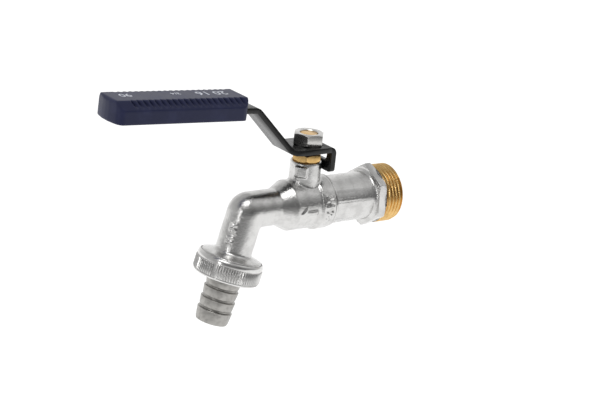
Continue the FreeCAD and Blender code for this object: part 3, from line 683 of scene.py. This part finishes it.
@dataclass
class Casting:
    """The cast body with its raised marks, softened like a casting."""

    voxel: float = 0.355
    rounds: int = 4
    mark_height: float = 0.6
    mark_root: float = 0.4
    marks: tuple[Mark, ...] = (
        Mark("3/4 20", 5.0, Axis.PIPE, 7.0, -92.0, 12.35, True),
        Mark("20 15", 4.4, Axis.SPOUT, 10.2, -28.0, 8.2, False))
    flange_fall: Profile = ((9.2, 19.5), (12.9, 20.5), (13.6, 21.0), (15.0, 21.0), (15.0, 18.0),
                            (9.2, 18.0))
    crotch: tuple[float, float] = (-23.3, -8.2)
    crotch_peak: float = 1.4
    crotch_reach: float = 5.0
    crotch_rounds: int = 70
    neck_peak: float = 1.6
    neck_rounds: int = 14
    flange_peak: float = 1.5
    flange_rounds: int = 10
    fillet_reach: float = 1.5
    chamber_radius: float = 11.4
    neck_radius: float = 7.0
    spout_radius: float = 8.2
    flange_top: float = 19.5
    finishes: Finishes = field(default_factory=Finishes)

    def arrow(self) -> Shaper:
        """A plain flow arrow, flat, pointing along -X."""
        outline = [(-4.6, 0.0), (-1.6, -2.3), (-1.6, -0.8), (4.2, -0.8), (4.2, 0.8),
                   (-1.6, 0.8), (-1.6, 2.3)]
        arrow = Shaper().prism(outline, 0.0, 1.0)
        bmesh.ops.subdivide_edges(arrow.mesh, edges=arrow.mesh.edges[:], cuts=2,
                                  use_grid_fill=True)
        return self.wrap(arrow, Axis.PIPE, -3.4, -86.0, self.chamber_radius)

    def figures(self, mark: Mark) -> Shaper:
        """Plain numbers, bent on to their place."""
        made = Shaper()
        made.mesh.from_mesh(flat_words(mark.words, mark.size, 0.5, 0.0, 0.0))
        if mark.runs_round:
            made.each(lambda p: Vector((p.y, p.x, p.z + 0.5)))
        else:
            made.each(lambda p: Vector((p.x, -p.y, p.z + 0.5)))
        return self.wrap(made, mark.axis, mark.along, mark.angle, mark.radius)

    def wrap(self, mark: Shaper, axis: Axis, along: float, angle: float,
             radius: float) -> Shaper:
        """Bend a flat mark round one of the tap's lines and place it.

        Args:
            mark: Drawn with X along the line, Y round it, Z from 0 to 1.
            axis: The line.
            along: Where its middle stands along the line.
            angle: Where its middle stands round the line, in degrees.
            radius: Radius of the surface that it rises from.

        Returns:
            The mark.
        """

        def bend(point: Vector) -> Vector:
            """Wrap one point."""
            turn = math.radians(angle) + point.y / radius
            reach = radius - self.mark_root + point.z * (self.mark_height + self.mark_root)
            return Vector((reach * math.cos(turn), reach * math.sin(turn), point.x + along))

        mark.each(bend)
        mark.tidy()
        return mark.move(LAYOUT.matrix(axis))

    def near_crotch(self, spot: Vector) -> float:
        """1 at the inner corner under the bend, 0 well away from it."""
        x = spot.x / MM - LAYOUT.stem_x - self.crotch[0]
        z = spot.z / MM - self.crotch[1]
        return self.crotch_peak - math.hypot(x, z) / self.crotch_reach

    def near_neck_foot(self, spot: Vector) -> float:
        """1 in the corner where the neck rises from the chamber."""
        x, y, z = spot.x / MM - LAYOUT.stem_x, spot.y / MM, spot.z / MM
        if z < 0.0:
            return 0.0
        out = abs(math.hypot(x, y) - self.neck_radius - 0.3)
        over = abs(math.hypot(y, z) - self.chamber_radius - 0.3)
        return self.neck_peak - (out + over) / self.fillet_reach

    def near_flange_foot(self, spot: Vector) -> float:
        """1 in the corner where the spout meets its flange."""
        local = LAYOUT.matrix(Axis.SPOUT).inverted() @ spot
        out = abs(math.hypot(local.x, local.y) - self.spout_radius - 0.4)
        along = abs(local.z - self.flange_top + 0.5)
        return self.flange_peak - (out + along) / self.fillet_reach

    def build(self) -> bpy.types.Object:
        """Make the casting.

        Returns:
            The casting's object.
        """
        turned = Shaper().copy_node("body").object("turned_casting")
        fall = Shaper().lathe(self.flange_fall).move(LAYOUT.matrix(Axis.SPOUT))
        cut(turned, fall.object("flange_cutter"))
        shell = Shaper()
        shell.mesh.from_mesh(turned.data)
        bpy.data.objects.remove(turned, do_unlink=True)
        for raised in [self.arrow()] + [self.figures(mark) for mark in self.marks]:
            shell.mesh.from_mesh(raised.data("raised_mark"))
        casting = shell.object("casting")
        soften = casting.modifiers.new("cast_skin", "REMESH")
        soften.mode = "VOXEL"
        soften.voxel_size = self.voxel * MM
        soften.adaptivity = 0.0
        blur = casting.modifiers.new("worn_pattern", "SMOOTH")
        blur.factor = 0.5
        blur.iterations = self.rounds
        settle(casting)
        blur_where(casting, "crotch", self.crotch_rounds, self.near_crotch)
        blur_where(casting, "neck_foot", self.neck_rounds, self.near_neck_foot)
        blur_where(casting, "flange_foot", self.flange_rounds, self.near_flange_foot)
        smooth(casting, 180.0)
        return finish_piece(casting, self.finishes.casting, Body.VALVE, "chromed_casting", "body")


@dataclass
class Connector:
    """Inlet connector: plated barrel and hexagon, bare brass thread."""

    pitch: float = 1.814
    crest: float = 13.22
    depth: float = 1.162
    length: float = 10.2
    lead_in: float = 1.1
    bore: float = 9.0
    steps: int = 96
    finishes: Finishes = field(default_factory=Finishes)

    def thread(self) -> Shaper:
        """Wind the thread and close it round its bore."""
        root = self.crest - self.depth
        shape = [(0.0, 0.0), (0.10, 0.0), (0.16, 0.09), (0.37, 0.91), (0.43, 1.0),
                 (0.57, 1.0), (0.63, 0.91), (0.84, 0.09), (0.90, 0.0), (1.0, 0.0)]
        made = Shaper()
        start = -2.0 * self.pitch
        chain = [made.mesh.verts.new((root + up * self.depth, 0.0, start + at * self.pitch))
                 for at, up in shape]
        edges = [made.mesh.edges.new(pair) for pair in zip(chain, chain[1:])]
        turns = 8
        bmesh.ops.spin(made.mesh, geom=chain + edges, cent=(0, 0, 0), axis=(0, 0, 1),
                       dvec=(0, 0, self.pitch / self.steps), angle=math.tau * turns,
                       steps=self.steps * turns, use_merge=False, use_normal_flip=False,
                       use_duplicate=False)
        bmesh.ops.remove_doubles(made.mesh, verts=made.mesh.verts[:], dist=1e-3)
        for height, upper in ((self.length, True), (-0.6, False)):
            bmesh.ops.bisect_plane(
                made.mesh, geom=made.mesh.verts[:] + made.mesh.edges[:] + made.mesh.faces[:],
                dist=1e-5, plane_co=(0, 0, height), plane_no=(0, 0, 1),
                clear_outer=upper, clear_inner=not upper)

        def taper(point: Vector) -> Vector:
            """Turn the lead-in and the groove at the shoulder."""
            reach = math.hypot(point.x, point.y)
            limit = self.crest - max(0.0, point.z - (self.length - self.lead_in))
            if point.z < 0.9:
                limit = min(limit, root + max(0.0, point.z - 0.45) * 2.6)
            factor = min(1.0, limit / reach)
            return Vector((point.x * factor, point.y * factor, point.z))

        made.each(taper)
        for height in (self.length, -0.6):
            rim = [e for e in made.mesh.edges if e.is_boundary
                   and abs(e.verts[0].co.z - height) < 0.01 and abs(e.verts[1].co.z - height) < 0.01]
            grown = bmesh.ops.extrude_edge_only(made.mesh, edges=rim)
            for vert in (v for v in grown["geom"] if isinstance(v, bmesh.types.BMVert)):
                reach = math.hypot(vert.co.x, vert.co.y)
                inner = root - 0.25
                vert.co.x *= inner / reach
                vert.co.y *= inner / reach
        made.tidy(1e-4)
        sleeve = Shaper().lathe([
            (root - 0.25, -0.6), (root - 0.25, self.length), (self.bore + 0.8, self.length),
            (self.bore, self.length - 0.8), (self.bore, -0.6)], self.steps)
        made.mesh.from_mesh(sleeve.data("sleeve_mesh"))
        turn = Matrix.Rotation(math.radians(90), 4, "Y") @ Matrix.Scale(MM, 4)
        return made.move(turn)

    def build(self) -> None:
        """Make the barrel with its hexagon, and the thread."""
        shell = Shaper().copy_node("inlet_connector")
        bmesh.ops.bisect_plane(
            shell.mesh, geom=shell.mesh.verts[:] + shell.mesh.edges[:] + shell.mesh.faces[:],
            dist=1e-7, plane_co=(0, 0, 0), plane_no=(1, 0, 0), clear_outer=True)
        rims = [e for e in shell.mesh.edges if e.is_boundary]
        bmesh.ops.bridge_loops(shell.mesh, edges=rims)
        barrel = shell.object("barrel_and_hexagon")
        ease(barrel, 0.28)
        finish_piece(barrel, self.finishes.barrel, Body.VALVE, "chromed_connector",
                     "inlet_connector")
        thread = self.thread().object("inlet_thread")
        smooth(thread, 45.0)
        finish_piece(thread, self.finishes.thread, Body.VALVE, "bare_brass", "inlet_connector")


@dataclass
class Outlet:
    """Union nut, its washer and the hose tail."""

    teeth: int = 80
    tooth_steps: int = 6
    knurl_depth: float = 0.60
    nut_top: float = 21.1
    nut_end: float = 30.8
    nut_radius: float = 15.05
    skirt_bore: float = 13.7
    knurl_drop: float = 2.65
    knurl_rise: float = 1.3
    slot_turn: float = -30.0
    slot_half: float = 0.055
    finishes: Finishes = field(default_factory=Finishes)

    def nut(self) -> Shaper:
        """Turn the ring nut and press its knurl."""
        top, end, full = self.nut_top, self.nut_end, self.nut_radius
        low = full - self.knurl_depth
        knurl_top, knurl_end = top + self.knurl_drop, end - self.knurl_rise
        profile = [
            (self.skirt_bore, top + 0.2), (self.skirt_bore + 0.1, top), (14.1, top),
            (14.45, top + 0.3), (14.72, top + 1.1), (14.82, top + 1.9), (14.74, top + 2.2),
            (low - 0.1, top + 2.35), (low - 0.1, knurl_top), (full, knurl_top + 0.3),
            (full, knurl_end - 0.3), (low - 0.1, knurl_end), (low - 0.1, knurl_end + 0.2),
            (14.68, knurl_end + 0.3), (14.55, knurl_end + 0.7), (14.1, knurl_end + 1.1),
            (13.3, end), (8.3, end), (8.3, end - 1.4), (13.0, end - 1.4), (13.0, top + 1.3),
            (self.skirt_bore, top + 1.1)]
        made = Shaper().lathe(profile, self.teeth * self.tooth_steps)

        def press(point: Vector) -> Vector:
            """Sink the gaps between the teeth, and one wide slot."""
            reach = math.hypot(point.x, point.y)
            if reach < full - 1e-3:
                return point
            angle = math.atan2(point.y, point.x)
            tooth = 0.5 + 0.5 * math.cos(angle * self.teeth)
            if abs(angle - math.radians(self.slot_turn)) < self.slot_half:
                tooth = 0.0
            wanted = low + (full - low) * tooth
            return Vector((point.x * wanted / reach, point.y * wanted / reach, point.z))

        return made.each(press)

    def tail(self) -> Shaper:
        """Turn the hose tail with its rounded saw-tooth barbs."""
        big, low, groove = 7.85, 7.3, 6.8
        profile: list[tuple[float, float]] = [
            (5.2, 28.05), (12.5, 28.05), (12.5, 29.4), (big, 29.4), (big, 32.1)]
        start = 35.9
        for barb in range(3):
            first = start + barb * 4.9
            profile += [(low + 0.12, first - 1.25), (low - 0.05, first - 0.95),
                        (groove, first - 0.75), (groove, first - 0.2), (groove + 0.15, first - 0.05),
                        (big - 0.2, first), (big, first + 0.22), (big - 0.08, first + 0.9)]
        profile += [(low + 0.05, 50.4), (low - 0.25, 51.2), (7.0, 51.4), (5.5, 51.4), (5.2, 51.1)]
        return Shaper().lathe(profile, 96)

    def build(self) -> None:
        """Make the nut and the tail and dress the washer."""
        place = LAYOUT.matrix(Axis.SPOUT)
        nut = self.nut().move(place).object("knurled_union_nut")
        smooth(nut, 40.0)
        finish_piece(nut, self.finishes.union, Body.UNION, "bright_chrome", "union_nut")
        tail = self.tail().move(place).object("barbed_hose_tail")
        smooth(tail, 40.0)
        finish_piece(tail, self.finishes.tail, Body.TAIL, "dull_nickel", "hose_tail")
        dress_node("union_washer", self.finishes.rubber)


@dataclass
class Grip:
    """The moulded sleeve with its ribbed shoulders and its print.

    Its own X runs along the lever, 0 at the end by the tap, and its own Z 0 is
    a little above the foot of its sloping shoulders.
    """

    start: float = -38.9
    line_z: float = 51.1
    pitch: float = 2.9
    length: float = 63.5
    half: float = 9.45
    top_half: float = 6.8
    low: float = 7.3
    top: float = 2.22
    shoulder_low: float = 1.5
    end_bevel: float = 1.0
    near_round: float = 3.0
    far_round: float = 3.2
    bulge: float = 0.9
    ribs: int = 20
    rib_first: float = -4.4
    rib_pitch: float = 2.73
    gap_width: float = 1.15
    slant: float = 2.4
    gap_floor: tuple[float, float] = (0.45, -0.95)
    bar_half: float = 6.3
    bar_low: float = -5.4
    bar_top: float = -2.7
    voxel: float = 0.28
    prints: tuple[tuple[str, float, float, float], ...] = (
        ("20 16", 6.6, -13.5, 1.0), ("3/4", 3.6, -30.5, 1.6), ("90", 5.6, -54.5, 1.0))
    finishes: Finishes = field(default_factory=Finishes)

    def place(self) -> Matrix:
        """From the grip's own millimetres to the frame."""
        spot = Matrix.Translation(((LAYOUT.stem_x + self.start) * MM, 0, self.line_z * MM))
        return spot @ Matrix.Rotation(math.radians(self.pitch), 4, "Y") @ Matrix.Scale(MM, 4)

    def plan(self) -> list[tuple[float, float]]:
        """The sleeve's outline from above, with its rounded corners."""
        r, big, wide = self.near_round, self.far_round, self.half
        left = -self.length + self.bulge
        outline = arc(-r, r - wide, r, -90, 0, 5) + arc(-r, wide - r, r, 0, 90, 5)
        outline += arc(left + big, wide - big, big, 90, 168, 6)
        flat = wide - big
        outline += [(left - self.bulge * (1 - (y / flat) ** 2), y)
                    for y in (0.8 * flat, 0.4 * flat, 0.0, -0.4 * flat, -0.8 * flat)]
        return outline + arc(left + big, big - wide, big, 192, 270, 6)

    def gap(self, at: float, side: int) -> Shaper:
        """The cutter of one curved gap between two ribs.

        Args:
            at: Where the gap starts along the grip.
            side: 1 on the far shoulder, -1 on the near one.

        Returns:
            The cutter, closed.
        """
        steps = 6
        inner, outer = self.top_half - 0.5, self.half - 0.4
        edges: list[list[tuple[float, float]]] = [[], []]
        for i in range(steps + 1):
            share = i / steps
            x = at + self.slant * math.sin(math.radians(80) * share)
            y = inner + (outer - inner) * share
            for row, sign in zip(edges, (1, -1)):
                row.append((x + sign * self.gap_width / 2, side * y))
        outline = edges[0] + edges[1][::-1]
        low, high = self.gap_floor[0], self.top + 2.0

        def slope(point: Vector) -> Vector:
            """Let the gap's floor fall towards the foot of the shoulder."""
            if point.z > low + 0.1:
                return point
            share = (abs(point.y) - inner) / (outer - inner)
            return Vector((point.x, point.y, low + (self.gap_floor[1] - low) * share))

        return Shaper().prism(outline, low, high).each(slope)

    def shoulders(self) -> list[bpy.types.Object]:
        """The wedges that slope the two long shoulders and ease the far end."""
        tools = []
        over = self.top + 3.0
        for side in (1, -1):
            section = [(self.half, -self.shoulder_low), (self.half + 3, -self.shoulder_low),
                       (self.half + 3, over), (self.top_half, over), (self.top_half, self.top)]
            wedge = Shaper().prism(section, -self.length - 2, 2)
            wedge.each(lambda p, s=side: Vector((p.z, s * p.x, p.y)))
            wedge.tidy()
            tools.append(wedge.object("shoulder_cutter"))
        edge = self.end_bevel - self.length
        section = [(-self.length - 2, self.top - self.end_bevel - 2),
                   (edge, self.top), (edge, over), (-self.length - 2, over)]
        wedge = Shaper().prism(section, -self.half - 2, self.half + 2)
        wedge.each(lambda p: Vector((p.x, -p.z, p.y)))
        wedge.tidy()
        tools.append(wedge.object("end_cutter"))
        return tools

    def sleeve(self) -> bpy.types.Object:
        """Make the sleeve: block, shoulders, gaps, pocket, softened skin."""
        piece = Shaper().prism(self.plan(), -self.low, self.top).object("grip_sleeve")
        for tool in self.shoulders():
            cut(piece, tool)
        gaps = Shaper()
        for side in (1, -1):
            for i in range(self.ribs):
                gaps.mesh.from_mesh(self.gap(self.rib_first - i * self.rib_pitch, side).data("gap"))
        gaps.tidy()
        cut(piece, gaps.object("gap_cutters"))
        pocket = Shaper().prism([(-61.0, -self.bar_half), (1.0, -self.bar_half),
                                 (1.0, self.bar_half), (-61.0, self.bar_half)],
                                self.bar_low, self.bar_top).object("bar_pocket")
        cut(piece, pocket)
        skin = piece.modifiers.new("moulded_skin", "REMESH")
        skin.mode = "VOXEL"
        skin.voxel_size = self.voxel
        blur = piece.modifiers.new("soft_edges", "SMOOTH")
        blur.factor = 0.5
        blur.iterations = 3
        settle(piece)
        blur_where(piece, "far_end", 14, lambda p: (-p.x - (self.length - 4.0)) / 3.0)
        smooth(piece, 180.0)
        return piece

    def print_on_top(self) -> bpy.types.Object:
        """Plain numbers printed in white on the top."""
        marks = Shaper()
        for words, size, x, y in self.prints:
            marks.mesh.from_mesh(flat_words(words, size, 0.05, x, y, 180.0))
        marks.move(Matrix.Translation((0, 0, self.top - 0.02)))
        return marks.object("grip_print")

    def build(self) -> None:
        """Make the sleeve and its print."""
        sleeve = self.sleeve()
        sleeve.data.transform(self.place())
        finish_piece(sleeve, self.finishes.grip, Body.LEVER, "blue_plastic", "lever_grip")
        marks = self.print_on_top()
        marks.data.transform(self.place())
        finish_piece(marks, self.finishes.print, Body.LEVER, "blue_plastic", "lever_grip")


@dataclass
class Lever:
    """Bent steel lever, its nut, the stem, the gland nut and the ball."""

    finishes: Finishes = field(default_factory=Finishes)

    def build(self) -> None:
        """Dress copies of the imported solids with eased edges."""
        looks = self.finishes
        for node, name, bevel, finish, body, slot in (
                ("lever", "lever_strip", 0.3, looks.paint, Body.LEVER, "black_paint"),
                ("lever_nut", "lever_lock_nut", 0.18, looks.nut, Body.LEVER, "plated_steel"),
                ("stem", "brass_stem", 0.1, looks.brass, Body.LEVER, "bare_brass"),
                ("gland_nut", "brass_gland_nut", 0.15, looks.brass, Body.VALVE, "bare_brass")):
            piece = Shaper().copy_node(node).object(name)
            ease(piece, bevel)
            finish_piece(piece, finish, body, slot, node)
        ball = Shaper().copy_node("ball").object("bored_ball")
        smooth(ball, 30.0)
        finish_piece(ball, self.finishes.ball, Body.LEVER, "polished_ball", "ball")


@dataclass
class Seals:
    """The white rings and washers inside the casting."""

    nodes: tuple[str, ...] = ("connector_seal", "inlet_seat", "outlet_seat", "stem_thrust_washer",
                              "packing_ring_lower", "packing_ring_upper")
    finishes: Finishes = field(default_factory=Finishes)

    def build(self) -> None:
        """Dress each ring."""
        for node in self.nodes:
            dress_node(node, self.finishes.white)


@dataclass(frozen=True)
class Lamp:
    """One soft rectangular lamp: its place and size in metres, its watts."""

    name: str
    spot: Colour
    size: tuple[float, float]
    power: float


@dataclass
class Studio:
    """Camera, floor and lights."""

    azimuth: float = 37.56
    elevation: float = 18.65
    roll: float = 6.09
    distance: float = 700.0
    scale: float = 2.2587
    centre: tuple[float, float] = (301.53, 202.75)
    floor_z: float = -130.0
    # Painted light on the floor: its glow behind the tap, its glow on the camera's side, and where
    # the fade between them turns and runs.
    floor_glow_back: float = 0.80
    floor_glow_front: float = 0.08
    dim_turn: float = -10.0
    horizon: Profile = (
        (-180, 1.0), (-150, 1.0), (-125, 0.80), (-105, 0.62), (-60, 0.58), (-42, 0.35),
        (-12, 0.18), (16, 0.18), (33, 0.12), (75, 0.14), (95, 0.28), (115, 0.50), (150, 0.92),
        (180, 1.0))
    middle: Profile = (
        (-180, 0.95), (-150, 0.85), (-110, 0.60), (-60, 0.45), (-12, 0.20), (16, 0.22),
        (46, 0.18), (79, 0.40), (110, 0.58), (150, 0.80), (180, 0.95))
    high: Profile = (
        (-180, 0.60), (-110, 0.50), (-50, 0.46), (0, 0.40), (50, 0.42), (89, 0.85),
        (107, 0.76), (133, 0.62), (156, 0.56), (180, 0.60))
    overhead: float = 0.45
    rises: tuple[float, ...] = (0.05, 0.44, 0.71, 1.0)
    floor_base: float = 0.5
    floor_near: float = 110.0
    floor_far: float = 430.0
    lamps: tuple[Lamp, ...] = (
        Lamp("soft_box", (-0.31, -0.175, 0.73), (0.40, 0.40), 1.6),
        Lamp("tall_window", (-0.80, -0.28, 0.16), (0.06, 0.50), 0.5))
    aim: Colour = (-0.05, 0.0, 0.0)

    def camera(self) -> None:
        """Stand the camera where it was fitted to the photograph."""
        a, e, r = (math.radians(v) for v in (self.azimuth, self.elevation, self.roll))
        ahead = Vector((math.sin(a) * math.cos(e), math.cos(a) * math.cos(e), -math.sin(e)))
        level = Vector((math.cos(a), -math.sin(a), 0.0))
        over = level.cross(ahead)
        right = level * math.cos(r) + over * math.sin(r)
        up = over * math.cos(r) - level * math.sin(r)
        focal = self.scale * self.distance
        shift_x = (self.centre[0] - 300.0) / focal * self.distance
        shift_y = -(self.centre[1] - 200.0) / focal * self.distance
        spot = Vector((LAYOUT.stem_x, 0, 0)) - ahead * self.distance
        spot -= right * shift_x + up * shift_y
        lens = bpy.data.cameras.new("photo_camera")
        lens.sensor_fit = "HORIZONTAL"
        lens.sensor_width = 36.0
        lens.lens = focal * 36.0 / 600.0
        lens.clip_start = 0.01
        made = bpy.data.objects.new("photo_camera", lens)
        turn = Matrix((right, up, -ahead)).transposed().to_4x4()
        made.matrix_world = Matrix.Translation(spot * MM) @ turn
        bpy.context.scene.collection.objects.link(made)
        bpy.context.scene.camera = made

    def hang(self, lamp: Lamp) -> None:
        """Hang one lamp, turned towards the tap."""
        light = bpy.data.lights.new(lamp.name, "AREA")
        light.shape = "RECTANGLE"
        light.size, light.size_y = lamp.size
        light.energy = lamp.power
        made = bpy.data.objects.new(lamp.name, light)
        made.location = lamp.spot
        ahead = Vector(self.aim) - Vector(lamp.spot)
        made.rotation_euler = ahead.to_track_quat("-Z", "Y").to_euler()
        bpy.context.scene.collection.objects.link(made)

    def floor(self) -> None:
        """Lay a wide pale floor under the tap, glowing with painted light: bright under and behind
        the tap, fading to dim on the camera's side.
        """
        mesh = bmesh.new()
        bmesh.ops.create_grid(mesh, x_segments=1, y_segments=1, size=6.0)
        bmesh.ops.translate(mesh, verts=mesh.verts[:], vec=(0, 0, self.floor_z * MM))
        data = bpy.data.meshes.new("glowing_floor")
        mesh.to_mesh(data)
        mesh.free()
        made = bpy.data.objects.new("glowing_floor", data)
        bpy.context.scene.collection.objects.link(made)
        work = Surface("glowing_floor")
        # Painted light: the floor's emission is bright under and behind the tap and fades to dim
        # towards the camera.
        turn = math.radians(self.dim_turn - self.azimuth)
        front = (work.axis("X") - LAYOUT.stem_x) * math.sin(turn) - work.axis("Y") * math.cos(turn)
        bright, dim = (self.floor_glow_back,) * 3, (self.floor_glow_front,) * 3
        fade = front.step(self.floor_near, self.floor_far)
        work.set(Base_Color=(self.floor_base,) * 3, Roughness=0.9,
                 Emission_Color=work.blend(fade, bright, dim),
                 Emission_Strength=1.0)
        made.data.materials.append(work.material)

    def sky(self) -> None:
        """Light the room: white behind, dim on the camera's side."""
        room = Room("soft_room")
        a = math.radians(self.azimuth)
        to_camera = room.along((-math.sin(a), -math.cos(a), 0.0))
        turn = room.along((math.cos(a), -math.sin(a), 0.0)).turn(to_camera)
        height = room.along((0.0, 0.0, 1.0))
        low, middle, high, top = self.rises
        light = room.ring(turn, self.horizon)
        light = light + (room.ring(turn, self.middle) - light) * height.step(low, middle)
        light = light + (room.ring(turn, self.high) - light) * height.step(middle, high)
        light = light + (self.overhead - light) * height.step(high, top)
        room.set(Color=light, Strength=1.0)

    def build(self) -> None:
        """Set up the whole studio."""
        self.camera()
        self.floor()
        self.sky()
        for lamp in self.lamps:
            self.hang(lamp)
        scene = bpy.context.scene
        scene.view_settings.view_transform = "Standard"
        scene.view_settings.look = "None"


def main() -> None:
    """Build every piece in order and report it."""
    logging.basicConfig(level=logging.INFO, format="%(name)s %(message)s")
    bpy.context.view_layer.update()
    finishes = Finishes()
    Casting(finishes=finishes).build()
    Connector(finishes=finishes).build()
    Outlet(finishes=finishes).build()
    Lever(finishes=finishes).build()
    Grip(finishes=finishes).build()
    Seals(finishes=finishes).build()
    Studio().build()


if __name__ == "__main__":
    main()
